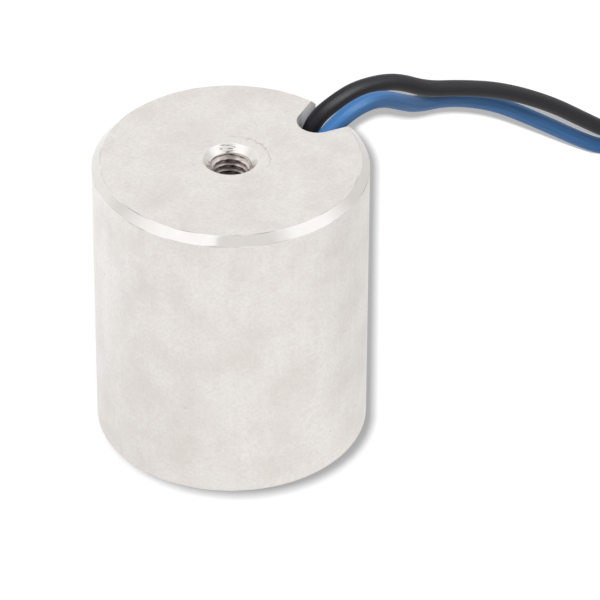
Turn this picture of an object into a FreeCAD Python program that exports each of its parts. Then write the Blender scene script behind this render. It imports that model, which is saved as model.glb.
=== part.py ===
"""Electro-permanent holding magnet with two leads, in millimetres.

The magnet stands on its holding face: the origin is the middle of that face, +Z runs up the axis
to the threaded end, and +X runs through the lead notch.
"""
import FreeCAD, Part
import math
import os

V = FreeCAD.Vector
UP = V(0, 0, 1)
ORIGIN = V(0, 0, 0)

# Housing cup
body_diameter = 20.0
body_height = 22.5
wall_thickness = 1.8
base_thickness = 6.2
rim_chamfer = 0.6
face_edge_break = 0.15

# Threaded hole in the base, at the thread's major diameter
thread_diameter = 3.0
thread_floor = 1.4
countersink_diameter = 4.0
drill_point_angle = 118.0

# Lead notch in the rim, a round end with walls that flare outwards, turned a little to one side, and
# the lead hole below it
notch_flare_angle = 20.0
notch_turn_angle = 7.0
notch_depth = 3.2
notch_overrun = 1.0
notch_edge_break = 0.08
lead_hole_clearance = 0.03

# Pole, magnet and coil
core_diameter = 8.0
magnet_thickness = 3.0
core_clearance = 0.05
bobbin_wall = 0.6
flange_thickness = 0.7
flange_clearance = 0.3
winding_margin = 0.5
tape_thickness = 0.15
resin_depth = 1.6
resin_recess = 0.1
splice_room = 3.4
collar_gap = 0.1

# Leads, their joints and the winding's own wire
lead_diameter = 1.25
lead_gap = 0.02
lead_offset = 0.45
lead_wall_gap = 0.1
sleeve_wall = 0.2
sleeve_overlap = 1.2
sleeve_setback = 0.12
sleeve_end = 0.5
sleeve_gap = 0.37
joint_diameter = 0.8
joint_length = 2.2
splice_start_angle = 25.0
wire_diameter = 0.3
wire_hole_clearance = 0.1
wire_bend = 0.6
tail_gap = 0.1

# Put-away coil of the leads, its tie and the stripped ends
coil_centre = V(48.4, 0, 0)
coil_mean_radius = 6.6
coil_layers = 2
coil_rows = 2
coil_start_angle = 105.0
coil_turns = 3.2
lead_in = 3.2
tie_thickness = 0.3
tie_width = 2.5
tie_angle = 65.0
stripped_length = 5.0
conductor_diameter = 0.6
strip_pocket_margin = 0.6

# Share of the shorter run that an arc of a lead's path takes up
arc_share = 0.45

# Sizes that follow
body_radius = body_diameter / 2
bore_radius = body_radius - wall_thickness
base_underside = body_height - base_thickness
core_radius = core_diameter / 2
core_length = base_underside - magnet_thickness
thread_radius = thread_diameter / 2
thread_end = base_underside + thread_floor
tube_inner = core_radius + core_clearance
tube_outer = tube_inner + bobbin_wall
flange_radius = bore_radius - flange_clearance
flange_top = base_underside - splice_room
winding_low = resin_depth + flange_thickness
winding_high = flange_top - flange_thickness
tape_radius = flange_radius - winding_margin
winding_radius = tape_radius - tape_thickness
wire_radius = wire_diameter / 2

# Leads side by side just inside the wall, and the notch round them
lead_radius = lead_diameter / 2
lead_y = lead_radius + lead_gap / 2
lead_x = math.sqrt((bore_radius - lead_wall_gap - lead_radius) ** 2 - lead_y**2)
notch_centre = lead_x + lead_offset
notch_end_radius = math.hypot(lead_offset, lead_y) + lead_radius + lead_hole_clearance
notch_floor = body_height - notch_depth

# Chord that each joint lies on, clear of the bobbin's collar
sleeve_radius = lead_radius + sleeve_wall
lead_run = (sleeve_overlap + sleeve_setback) / (1 - arc_share)
splice_run = lead_run + joint_length + sleeve_end + tail_gap + wire_bend
splice_distance = tube_outer + sleeve_gap + sleeve_radius
splice_radius = math.hypot(splice_distance, splice_run / 2)
splice_spread = 2 * math.degrees(math.atan2(splice_run / 2, splice_distance))
splice_height = flange_top + sleeve_radius

# Section of the coil, each lead's rows stacked on the other's
coil_half_width = coil_layers * lead_diameter / 2
coil_inner = coil_mean_radius - coil_half_width
coil_outer = coil_mean_radius + coil_half_width
outer_turn = coil_outer - lead_radius
coil_depth = coil_rows * lead_diameter
coil_base = {"blue": tie_thickness, "black": tie_thickness + coil_depth}
coil_top = coil_base["black"] + coil_depth
entry_row = {"blue": coil_rows - 1, "black": 0}
end_row = {"blue": 0, "black": coil_rows - 1}

# Free stretch of each lead: from its exit over the rim, then down to the coil
side = {"black": 1, "blue": -1}
lead_exit = {colour: V(lead_x, lead_y * side[colour], notch_floor) for colour in side}
over_rim = {
    "black": [
        V(0, 0, 1.6), V(0.85, 0, 3.0), V(2.75, 0.15, 3.58), V(4.85, 0.5, 3.58),
        V(7.55, 0.96, 2.8), V(9.75, 1.36, 1.76),
    ],
    "blue": [
        V(0, 0, 1.4), V(0.95, -0.04, 2.3), V(2.75, 0, 3.2), V(4.85, 0.27, 3.25),
        V(6.95, 0.97, 2.3), V(9.15, 1.82, 0.65),
    ],
}
down_to_coil = {
    "black": [
        V(20.2, 2.45, 18.92), V(24.0, 3.15, 17.12), V(29.0, 4.0, 14.4), V(34.6, 4.9, 10.4),
        V(39.0, 5.6, 6.6), V(41.6, 5.9, 4.4),
    ],
    "blue": [
        V(19.2, 2.5, 17.82), V(23.6, 3.98, 15.85), V(29.0, 5.0, 12.7), V(34.6, 5.7, 8.2),
        V(39.0, 6.15, 4.5), V(41.6, 6.3, 2.55),
    ],
}


def cylinder(radius, low, high, x=0.0, y=0.0):
    """Upright cylinder between two heights."""
    return Part.makeCylinder(radius, high - low, V(x, y, low))


def ring(inner, outer, low, high):
    """Upright ring about the axis."""
    return cylinder(outer, low, high).cut(cylinder(inner, low, high))


def rod(radius, start, end):
    """Round rod from one point to another."""
    along = end - start
    return Part.makeCylinder(radius, along.Length, start, along)


def turned_section(corners, degrees, centre, start_degrees):
    """Section given as (radius, height) corners, turned about an upright axis at centre."""
    points = [V(r, 0, z) for r, z in corners]
    face = Part.Face(Part.makePolygon(points + points[:1]))
    solid = face.revolve(ORIGIN, UP, degrees)
    solid.rotate(ORIGIN, UP, start_degrees)
    solid.translate(centre)
    return solid


def box_section(inner, outer, low, high):
    """Corners of a rectangular section."""
    return [(inner, low), (outer, low), (outer, high), (inner, high)]


def rounded_path(points):
    """Straight runs joined by tangent arcs, each as large as its two runs allow."""
    edges = []
    radii = []
    length = 0.0
    last = points[0]
    for before, point, after in zip(points, points[1:], points[2:]):
        back = (before - point).normalize()
        ahead = (after - point).normalize()
        half_turn = (math.pi - back.getAngle(ahead)) / 2
        reach = arc_share * min((point - before).Length, (after - point).Length)
        radius = reach / math.tan(half_turn)
        start = point + back * reach
        end = point + ahead * reach
        inward = (back + ahead).normalize()
        middle = point + inward * (radius / math.cos(half_turn) - radius)
        edges.append(Part.LineSegment(last, start).toShape())
        edges.append(Part.Arc(start, middle, end).toShape())
        length += (start - last).Length + 2 * half_turn * radius
        radii.append(radius)
        last = end
    edges.append(Part.LineSegment(last, points[-1]).toShape())
    length += (points[-1] - last).Length
    return Part.Wire(edges), radii, length


def tube(name, points, radius):
    """Round tube along a route, with its radii and its volume against section times length."""
    path, radii, length = rounded_path(points)
    circle = Part.Wire(Part.Circle(points[0], points[1] - points[0], radius).toShape())
    solid = path.makePipeShell([circle], True, False)
    share = solid.Volume / (math.pi * radius**2 * length)
    print(name, "length", round(length, 2), "volume share", round(share, 5),
          "radii", [round(r, 1) for r in radii])
    return solid


def notch_cut():
    """Notch from its floor to the rim: a round inner end, and two tangent walls that flare past the rim."""
    reach = body_radius + notch_overrun
    ends = []
    mouths = []
    for way in side.values():
        flare = math.radians(notch_flare_angle + notch_turn_angle * way)
        end_x = notch_centre - notch_end_radius * math.sin(flare)
        end_y = notch_end_radius * math.cos(flare)
        mouth_y = end_y + (reach - end_x) * math.tan(flare)
        ends.append(V(end_x, end_y * way, notch_floor))
        mouths.append(V(reach, mouth_y * way, notch_floor))
    inner_end = V(notch_centre - notch_end_radius, 0, notch_floor)
    edges = [
        Part.Arc(ends[0], inner_end, ends[1]).toShape(),
        Part.LineSegment(ends[1], mouths[1]).toShape(),
        Part.LineSegment(mouths[1], mouths[0]).toShape(),
        Part.LineSegment(mouths[0], ends[0]).toShape(),
    ]
    return Part.Face(Part.Wire(edges)).extrude(UP * notch_depth)


def threaded_hole_cut():
    """Blind hole with a countersunk mouth and a drill point."""
    sink_radius = countersink_diameter / 2
    sink_depth = sink_radius - thread_radius
    point_depth = thread_radius / math.tan(math.radians(drill_point_angle / 2))
    section = [
        (0, thread_end - point_depth), (thread_radius, thread_end),
        (thread_radius, body_height - sink_depth), (sink_radius, body_height), (0, body_height),
    ]
    return turned_section(section, 360, ORIGIN, 0)


def notch_rim(cup):
    """The notch's edges on the top face: its two walls and its round end."""
    inner_end = notch_centre - notch_end_radius
    on_top = [edge for edge in cup.Edges if edge.BoundBox.ZMin > body_height - notch_edge_break]
    return [edge for edge in on_top if edge.CenterOfMass.x > inner_end]


def housing_cup():
    """Turned cup with chamfer, blind bore from below, threaded hole, notch and lead hole."""
    profile = [
        (0, 0), (body_radius - face_edge_break, 0), (body_radius, face_edge_break),
        (body_radius, body_height - rim_chamfer), (body_radius - rim_chamfer, body_height),
        (0, body_height),
    ]
    cup = turned_section(profile, 360, ORIGIN, 0)
    cup = cup.cut(cylinder(bore_radius, 0, base_underside))
    cup = cup.cut(threaded_hole_cut())
    cup = cup.cut(notch_cut())
    cup = cup.makeChamfer(notch_edge_break, notch_rim(cup))
    return cup.cut(cylinder(notch_end_radius, base_underside, notch_floor, notch_centre))


def pole_core():
    """Round pole, flush with the holding face."""
    return cylinder(core_radius, 0, core_length)


def permanent_magnet():
    """Magnet disc between the pole and the cup's base."""
    return cylinder(core_radius, core_length, base_underside)


def tail_place(colour):
    """Plan place where a winding wire comes up through the flange."""
    angle = math.radians(splice_start_angle + splice_spread) * side[colour]
    return V(splice_radius * math.cos(angle), splice_radius * math.sin(angle), 0)


def coil_bobbin():
    """Former: tube with two flanges, a collar up to the base and a hole for each wire end."""
    bobbin = ring(tube_inner, tube_outer, resin_depth, base_underside - collar_gap)
    bobbin = bobbin.fuse(ring(tube_inner, flange_radius, resin_depth, winding_low))
    bobbin = bobbin.fuse(ring(tube_inner, flange_radius, winding_high, flange_top)).removeSplitter()
    for colour in side:
        place = tail_place(colour)
        hole_radius = wire_radius + wire_hole_clearance
        bobbin = bobbin.cut(cylinder(hole_radius, winding_high, flange_top, place.x, place.y))
    return bobbin


def coil_winding():
    """The turns of wire between the flanges, as one solid."""
    return ring(tube_outer, winding_radius, winding_low, winding_high)


def winding_tape():
    """Tape wrap over the winding."""
    return ring(winding_radius, tape_radius, winding_low, winding_high)


def potting_resin():
    """Resin from the holding face up round the bobbin, against pole, coil and cup."""
    resin = ring(core_radius, bore_radius, resin_recess, flange_top)
    resin = resin.cut(cylinder(flange_radius, resin_depth, winding_low))
    resin = resin.cut(cylinder(tape_radius, winding_low, winding_high))
    return resin.cut(cylinder(flange_radius, winding_high, flange_top))


def splice_line(colour):
    """Start of the straight joint stretch, and its direction along a chord of the room."""
    angle = math.radians(splice_start_angle) * side[colour]
    start = V(splice_radius * math.cos(angle), splice_radius * math.sin(angle), splice_height)
    end = tail_place(colour) + UP * splice_height
    return start, (end - start).normalize()


def insulation_end(colour):
    """Point inside the sleeve where the lead's insulation stops."""
    start, along = splice_line(colour)
    return start + along * lead_run


def lead_inner(colour):
    """Lead from the notch floor down through the seal and along to its joint."""
    exit_point = lead_exit[colour]
    start, along = splice_line(colour)
    turn_point = V(exit_point.x, exit_point.y, splice_height)
    points = [exit_point, turn_point, start, insulation_end(colour)]
    return tube(colour + "_lead_inner", points, lead_radius)


def lead_seal(inner_leads):
    """Resin plug in the lead hole, cast round both leads."""
    plug = cylinder(notch_end_radius, base_underside, notch_floor, notch_centre)
    for lead in inner_leads:
        plug = plug.cut(lead)
    return plug


def splice_joint(colour):
    """Soldered joint between the lead and the winding's wire."""
    start = insulation_end(colour)
    along = splice_line(colour)[1]
    return rod(joint_diameter / 2, start, start + along * joint_length)


def splice_sleeve(colour):
    """Sleeve over the lead's end and the joint."""
    along = splice_line(colour)[1]
    start = insulation_end(colour) - along * sleeve_overlap
    end = start + along * (sleeve_overlap + joint_length + sleeve_end)
    return rod(sleeve_radius, start, end).cut(rod(lead_radius, start, end))


def winding_tail(colour):
    """Winding wire from the joint along the chord, then down through the flange to the turns."""
    along = splice_line(colour)[1]
    start = insulation_end(colour) + along * joint_length
    corner = tail_place(colour) + UP * splice_height
    turn_in = corner - along * wire_bend
    turn_out = corner - UP * wire_bend
    middle = corner - (along + UP) * wire_bend * (1 - math.cos(math.pi / 4))
    path = Part.Wire([
        Part.LineSegment(start, turn_in).toShape(),
        Part.Arc(turn_in, middle, turn_out).toShape(),
        Part.LineSegment(turn_out, tail_place(colour) + UP * winding_high).toShape(),
    ])
    circle = Part.Wire(Part.Circle(start, along, wire_radius).toShape())
    return path.makePipeShell([circle], True, False)


def row_height(colour, row):
    """Height of a turn's middle in one row of a lead's coil."""
    return coil_base[colour] + lead_radius + row * lead_diameter


def strip_start():
    """Angle round the coil at which the insulation stops, in degrees."""
    return coil_start_angle - 360 * (coil_turns % 1)


def lead_coil(colour):
    """Outer form of a lead's put-away turns, with a pocket for its stripped end."""
    base = coil_base[colour]
    section = box_section(coil_inner, coil_outer, base, base + coil_depth)
    coil = turned_section(section, 360, coil_centre, 0)
    middle = row_height(colour, end_row[colour])
    pocket = box_section(outer_turn - lead_radius, coil_outer, middle - lead_radius, middle + lead_radius)
    reach = math.degrees((stripped_length + strip_pocket_margin) / outer_turn)
    return coil.cut(turned_section(pocket, reach, coil_centre, strip_start() - reach))


def wire_end(colour):
    """Stripped, tinned end that follows the coil's outer turn."""
    middle = V(outer_turn, 0, row_height(colour, end_row[colour]))
    section = Part.Circle(middle, V(0, 1, 0), conductor_diameter / 2).toShape()
    reach = math.degrees(stripped_length / outer_turn)
    solid = Part.Face(Part.Wire(section)).revolve(ORIGIN, UP, reach)
    solid.rotate(ORIGIN, UP, strip_start() - reach)
    solid.translate(coil_centre)
    return solid


def lead_tie():
    """Band round the coil's section."""
    outside = box_section(coil_inner - tie_thickness, coil_outer + tie_thickness,
                          0, coil_top + tie_thickness)
    inside = box_section(coil_inner, coil_outer, tie_thickness, coil_top)
    spread = math.degrees(tie_width / coil_mean_radius)
    start = tie_angle - spread / 2
    band = turned_section(outside, spread, coil_centre, start)
    return band.cut(turned_section(inside, spread, coil_centre, start))


def lead(colour, coil):
    """Free stretch of a lead, from the notch floor to its coil."""
    angle = math.radians(coil_start_angle)
    radial = V(math.cos(angle), math.sin(angle), 0)
    tangent = V(math.sin(angle), -math.cos(angle), 0)
    join = coil_centre + radial * outer_turn + UP * row_height(colour, entry_row[colour])
    exit_point = lead_exit[colour]
    points = [exit_point] + [exit_point + step for step in over_rim[colour]]
    points += down_to_coil[colour] + [join - tangent * lead_in]
    return tube(colour + "_lead", points, lead_radius).cut(coil)


def build():
    """Every sub-part by its node name."""
    inner = {colour: lead_inner(colour) for colour in side}
    coils = {colour: lead_coil(colour) for colour in side}
    parts = {
        "housing_cup": housing_cup(),
        "pole_core": pole_core(),
        "permanent_magnet": permanent_magnet(),
        "coil_bobbin": coil_bobbin(),
        "coil_winding": coil_winding(),
        "winding_tape": winding_tape(),
        "potting_resin": potting_resin(),
        "lead_seal": lead_seal(inner.values()),
        "winding_start_tail": winding_tail("black"),
        "winding_finish_tail": winding_tail("blue"),
        "lead_tie": lead_tie(),
    }
    for colour in side:
        parts[colour + "_lead_inner"] = inner[colour]
        parts[colour + "_splice_joint"] = splice_joint(colour)
        parts[colour + "_splice_sleeve"] = splice_sleeve(colour)
        parts[colour + "_lead"] = lead(colour, coils[colour])
        parts[colour + "_lead_coil"] = coils[colour]
        parts[colour + "_wire_end"] = wire_end(colour)
    return parts


os.makedirs("parts", exist_ok=True)
for node, shape in build().items():
    print(node, "solids", len(shape.Solids), "valid", shape.isValid(), "mm3", round(shape.Volume, 3))
    shape.exportStep("parts/" + node + ".step")
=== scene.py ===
# %% [markdown]
# # A holding magnet with two flying leads
#
# The real object is a turned steel cup, nickel plated, with a pole, a magnet disc and a coil potted
# inside it. It is fixed by a threaded hole in its back, and two leads come out of a notch in the rim.
# The solids arrive already at their real size. This script gives them their looks: it builds the cup
# again with its thread and its worn edges, lays the two leads along their route, and dresses every
# piece in a finish that is worked out from what the real one is made of.

# %% Load the frame
import math

import bmesh
import bpy
import numpy as np
from mathutils import Matrix, Vector


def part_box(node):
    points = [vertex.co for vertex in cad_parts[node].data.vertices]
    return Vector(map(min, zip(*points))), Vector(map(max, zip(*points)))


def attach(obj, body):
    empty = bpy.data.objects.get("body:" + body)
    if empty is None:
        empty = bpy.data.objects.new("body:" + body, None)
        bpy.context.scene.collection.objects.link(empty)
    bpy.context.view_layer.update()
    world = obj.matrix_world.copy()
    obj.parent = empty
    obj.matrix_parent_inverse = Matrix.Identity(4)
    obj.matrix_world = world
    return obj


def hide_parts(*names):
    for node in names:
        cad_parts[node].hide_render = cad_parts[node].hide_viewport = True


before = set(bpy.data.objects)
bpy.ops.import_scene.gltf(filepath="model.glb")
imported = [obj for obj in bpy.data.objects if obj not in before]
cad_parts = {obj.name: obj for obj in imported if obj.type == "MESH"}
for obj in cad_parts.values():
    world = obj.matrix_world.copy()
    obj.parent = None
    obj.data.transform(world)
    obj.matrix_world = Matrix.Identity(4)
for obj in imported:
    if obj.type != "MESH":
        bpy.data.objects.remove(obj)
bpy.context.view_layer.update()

MM = 0.001
scene = bpy.context.scene
scene.view_settings.view_transform = "Standard"


def solid_top(node):
    """Highest corner of a carried-over solid's box in millimetres, to the micron."""
    return [round(v / MM, 3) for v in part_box(node)[1]]



# %% [markdown]
# ## Camera
#
# The view is a long lens from the front left, looking down at the threaded end. A camera could be
# aimed with a Track To constraint, but a measured place, heading, tilt and roll can be written
# straight into its matrix: the columns are its right, its up, the reverse of its view, and its place.

# %% Place the camera
camera_place_mm = (-166.76, -221.62, 215.83)
camera_heading, camera_tilt = 52.0, 36.594
camera_roll = math.radians(0.3663)
camera_lens_mm = 282.87


def direction(heading, height):
    """Unit vector from a compass heading and an angle above the floor, both in degrees."""
    heading, height = math.radians(heading), math.radians(height)
    flat = math.cos(height)
    return Vector((flat * math.cos(heading), flat * math.sin(heading), math.sin(height)))


look = direction(camera_heading, -camera_tilt)
level_right = look.cross(Vector((0, 0, 1))).normalized()
level_up = level_right.cross(look)
right = level_right * math.cos(camera_roll) + level_up * math.sin(camera_roll)
up = level_up * math.cos(camera_roll) - level_right * math.sin(camera_roll)

camera_data = bpy.data.cameras.new("photo_camera")
camera_data.lens = camera_lens_mm
camera_data.sensor_width = 36.0
camera_data.clip_start = 0.01
camera = bpy.data.objects.new("photo_camera", camera_data)
scene.collection.objects.link(camera)
camera_turn = Matrix((right, up, -look)).transposed().to_4x4()
camera.matrix_world = Matrix.Translation(Vector(camera_place_mm) * MM) @ camera_turn
scene.camera = camera
print("camera at", camera_place_mm, "lens", camera_lens_mm)

# %% [markdown]
# ## Finishes
#
# A finish is a node tree that ends in one Principled shader. It could be painted on an image, but a
# procedural one has no resolution and needs no unwrapping. The patterns here read Object coordinates,
# which are metres in the part's own frame. Scaled to millimetres first, a pattern's scale is simply
# one over the real size of its grain.

# %% Finish helpers
def linear(hex_colour):
    """Linear RGBA of an sRGB hex colour: each channel to the power 2.4 above the straight toe."""
    srgb = np.array([int(hex_colour[i:i + 2], 16) for i in (1, 3, 5)]) / 255
    rgb = np.where(srgb <= 0.04045, srgb / 12.92, ((srgb + 0.055) / 1.055) ** 2.4)
    return (*rgb.tolist(), 1.0)


def add_node(tree, kind, inputs=None, output=None, **options):
    """Adds a node with its options, sets or links its inputs, and gives back the named or first output."""
    node = tree.nodes.new("ShaderNode" + kind)
    for option, value in options.items():
        setattr(node, option, value)
    for key, value in (inputs or {}).items():
        sockets = [s for i, s in enumerate(node.inputs) if s.enabled and key in (i, s.name)]
        if isinstance(value, bpy.types.NodeSocket):
            tree.links.new(value, sockets[0])
        else:
            sockets[0].default_value = value
    shown = [s for s in node.outputs if s.enabled and output in (None, s.name)]
    return shown[0]


def start_finish(name, plain):
    """New material: its tree, its shader with the plain values set, and its place in millimetres."""
    material = bpy.data.materials.new(name)
    material.use_nodes = True
    tree = material.node_tree
    shader = tree.nodes["Principled BSDF"]
    for socket, value in plain.items():
        shader.inputs[socket].default_value = value
    metres = add_node(tree, "TexCoord", output="Object")
    place = add_node(tree, "VectorMath", {0: metres, 1: (1 / MM,) * 3}, operation="MULTIPLY")
    return material, tree, shader, place


def set_bump(tree, shader, height, depth_mm):
    """Feeds a height from 0 to 1 to the shader's normal, at its real depth."""
    bump = add_node(tree, "Bump", {"Height": height, "Strength": 1.0, "Distance": depth_mm * MM})
    tree.links.new(bump, shader.inputs["Normal"])


def facing(tree, vector, heading):
    """Cosine of the angle between a vector and a heading in degrees: the dot product of unit vectors."""
    outward = add_node(tree, "VectorMath", {0: vector}, operation="NORMALIZE")
    side = direction(heading, 0.0)
    return add_node(tree, "VectorMath", {0: outward, 1: side}, operation="DOT_PRODUCT", output="Value")


# %% [markdown]
# ### Nickel plate on turned steel
#
# The cup is turned from free-cutting steel and plated with nickel in a barrel. The plate is satin: it
# blurs what it mirrors into a warm pale grey, with faint clouds a few millimetres wide, a finer
# mottling, still fainter streaks down the side, and a few small pits. What it was clamped to has left
# a scuffed arc beside the hole. Metallic is 1 and the colour is the plate's own. Clouds, mottling and
# streaks are the same noise at three sizes, so they are three turns of one loop.

# %% Satin nickel
def satin_nickel():
    """Layers of noise, pits and a scuffed arc mix the tones; a fine grain lifts the surface by microns."""
    cloud_mm, mottle_mm, streak_mm = 3.0, 0.22, 0.6
    cloud_shift = (4.0, 0.0, 0.0)
    pit_cell_mm, pit_stain, pit_grains_deep = 1.1, 0.6, 2.0
    scuff_radius, scuff_width, scuff_heading = 2.8, 0.07, -5.0
    wander_mm, wander_reach = 0.625, 0.9
    grain_mm, grain_depth_mm = 0.2, 0.004
    material, tree, shader, place = start_finish("nickel_plate_satin", {"Metallic": 1.0})
    down = add_node(tree, "VectorMath", {0: place, 1: (1.0, 1.0, 0.04)}, operation="MULTIPLY")
    moved = add_node(tree, "VectorMath", {0: place, 1: cloud_shift}, operation="ADD")
    tone = linear("#F0ECE8")
    for vector, size_mm, most, hex_colour in (
        (moved, cloud_mm, 0.6, "#DED8D2"),
        (place, mottle_mm, 0.45, "#D8D1CB"),
        (down, streak_mm, 0.1, "#D6D0CA"),
    ):
        noise = {"Vector": vector, "Scale": 1 / size_mm, "Detail": 5.0, "Roughness": 0.6}
        noise = add_node(tree, "TexNoise", noise)
        share = {"Value": noise, "From Min": 0.4, "From Max": 0.7, "To Max": most}
        share = add_node(tree, "MapRange", share)
        tone = {"Factor": share, "A": tone, "B": linear(hex_colour)}
        tone = add_node(tree, "Mix", tone, data_type="RGBA")
    # The last noise, that of the streaks, moves the roughness too.
    rough = {"Value": noise, "From Min": 0.3, "From Max": 0.7, "To Min": 0.42, "To Max": 0.48}
    tree.links.new(add_node(tree, "MapRange", rough), shader.inputs["Roughness"])

    cell_inputs = {"Vector": place, "Scale": 1 / pit_cell_mm}
    cell_tint = add_node(tree, "TexVoronoi", cell_inputs, output="Color")
    chosen = add_node(tree, "MapRange", {"Value": cell_tint, "From Min": 0.78, "From Max": 0.80})
    middle = add_node(tree, "TexVoronoi", cell_inputs, output="Distance")
    near = {"Value": middle, "From Min": 0.03, "From Max": 0.07, "To Min": 1.0, "To Max": 0.0}
    near = add_node(tree, "MapRange", near)
    pit = add_node(tree, "Math", {0: chosen, 1: near}, operation="MULTIPLY")
    share = add_node(tree, "Math", {0: pit, 1: pit_stain}, operation="MULTIPLY")
    tone = add_node(tree, "Mix", {"Factor": share, "A": tone, "B": linear("#9A8F86")}, data_type="RGBA")

    flat = add_node(tree, "VectorMath", {0: place, 1: (1.0, 1.0, 0.0)}, operation="MULTIPLY")
    radius = add_node(tree, "VectorMath", {0: flat}, operation="LENGTH", output="Value")
    wander = {"Vector": place, "Scale": 1 / wander_mm, "Detail": 5.0, "Roughness": 0.7}
    wander = add_node(tree, "TexNoise", wander)
    off = add_node(tree, "Math", {0: wander, 1: wander_reach, 2: radius}, operation="MULTIPLY_ADD")
    off = add_node(tree, "Math", {0: off, 1: scuff_radius + wander_reach / 2}, operation="SUBTRACT")
    off = add_node(tree, "Math", {0: off}, operation="ABSOLUTE")
    line = {"Value": off, "From Max": scuff_width, "To Min": 1.0, "To Max": 0.0}
    line = add_node(tree, "MapRange", line)
    beside = facing(tree, flat, scuff_heading)
    arc = {"Value": beside, "From Min": 0.5, "From Max": 0.85, "To Min": 0.1, "To Max": 0.6}
    arc = add_node(tree, "MapRange", arc)
    share = add_node(tree, "Math", {0: line, 1: arc}, operation="MULTIPLY")
    tone = add_node(tree, "Mix", {"Factor": share, "A": tone, "B": linear("#B3AAA2")}, data_type="RGBA")
    tree.links.new(tone, shader.inputs["Base Color"])

    grain = add_node(tree, "TexNoise", {"Vector": place, "Scale": 1 / grain_mm, "Detail": 3.0})
    height = add_node(tree, "Math", {0: pit, 1: -pit_grains_deep, 2: grain}, operation="MULTIPLY_ADD")
    set_bump(tree, shader, height, grain_depth_mm)
    return material


# %% [markdown]
# The chamfer and the countersink were cut last, with a sharp tool, so they mirror the light cards
# almost clearly. Their texture is the fine rings that the tool left, a function of height alone, and a
# little chatter. In the countersink the small tool has bitten at one side, and its marks hold dirt.

# %% Bright cut nickel
def bright_cut_nickel(name, tones, roughness, chatter_mm, chatter_depth_mm, bitten):
    """Rings follow the height and chatter breaks them; where the tool has bitten, dirt lies in lines."""
    ring_mm, ring_share, smear_mm = 0.06, 0.2, 1.25
    bite_heading, dirt_mm = 61.0, 0.2
    material, tree, shader, place = start_finish(name, {"Metallic": 1.0, "Roughness": roughness})
    level = add_node(tree, "VectorMath", {0: place, 1: (0.0, 0.0, 1.0)}, operation="MULTIPLY")
    rings = add_node(tree, "TexNoise", {"Vector": level, "Scale": 1 / ring_mm, "Detail": 2.0})
    squeezed = add_node(tree, "VectorMath", {0: place, 1: (1.0, 1.0, 4.0)}, operation="MULTIPLY")
    chatter = add_node(tree, "TexNoise", {"Vector": squeezed, "Scale": 1 / chatter_mm, "Detail": 1.0})
    smear = add_node(tree, "TexNoise", {"Vector": place, "Scale": 1 / smear_mm, "Detail": 3.0})
    light, deep = (linear(tone) for tone in tones)
    tone = add_node(tree, "Mix", {"Factor": smear, "A": light, "B": deep}, data_type="RGBA")

    flat = add_node(tree, "VectorMath", {0: place, 1: (1.0, 1.0, 0.0)}, operation="MULTIPLY")
    near = {"Value": facing(tree, flat, bite_heading), "From Min": 0.935, "From Max": 0.975}
    near = add_node(tree, "MapRange", near | {"To Max": bitten})
    streaked = add_node(tree, "VectorMath", {0: place, 1: (0.35, 0.35, 3.0)}, operation="MULTIPLY")
    dirt = add_node(tree, "TexNoise", {"Vector": streaked, "Scale": 1 / dirt_mm, "Detail": 3.0})
    dirt = add_node(tree, "MapRange", {"Value": dirt, "From Min": 0.52, "From Max": 0.6})
    share = add_node(tree, "Math", {0: near, 1: dirt}, operation="MULTIPLY")
    tone = add_node(tree, "Mix", {"Factor": share, "A": tone, "B": linear("#5E4F47")}, data_type="RGBA")
    tree.links.new(tone, shader.inputs["Base Color"])
    height = add_node(tree, "Math", {0: rings, 1: ring_share, 2: chatter}, operation="MULTIPLY_ADD")
    set_bump(tree, shader, height, chatter_depth_mm)
    return material
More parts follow.
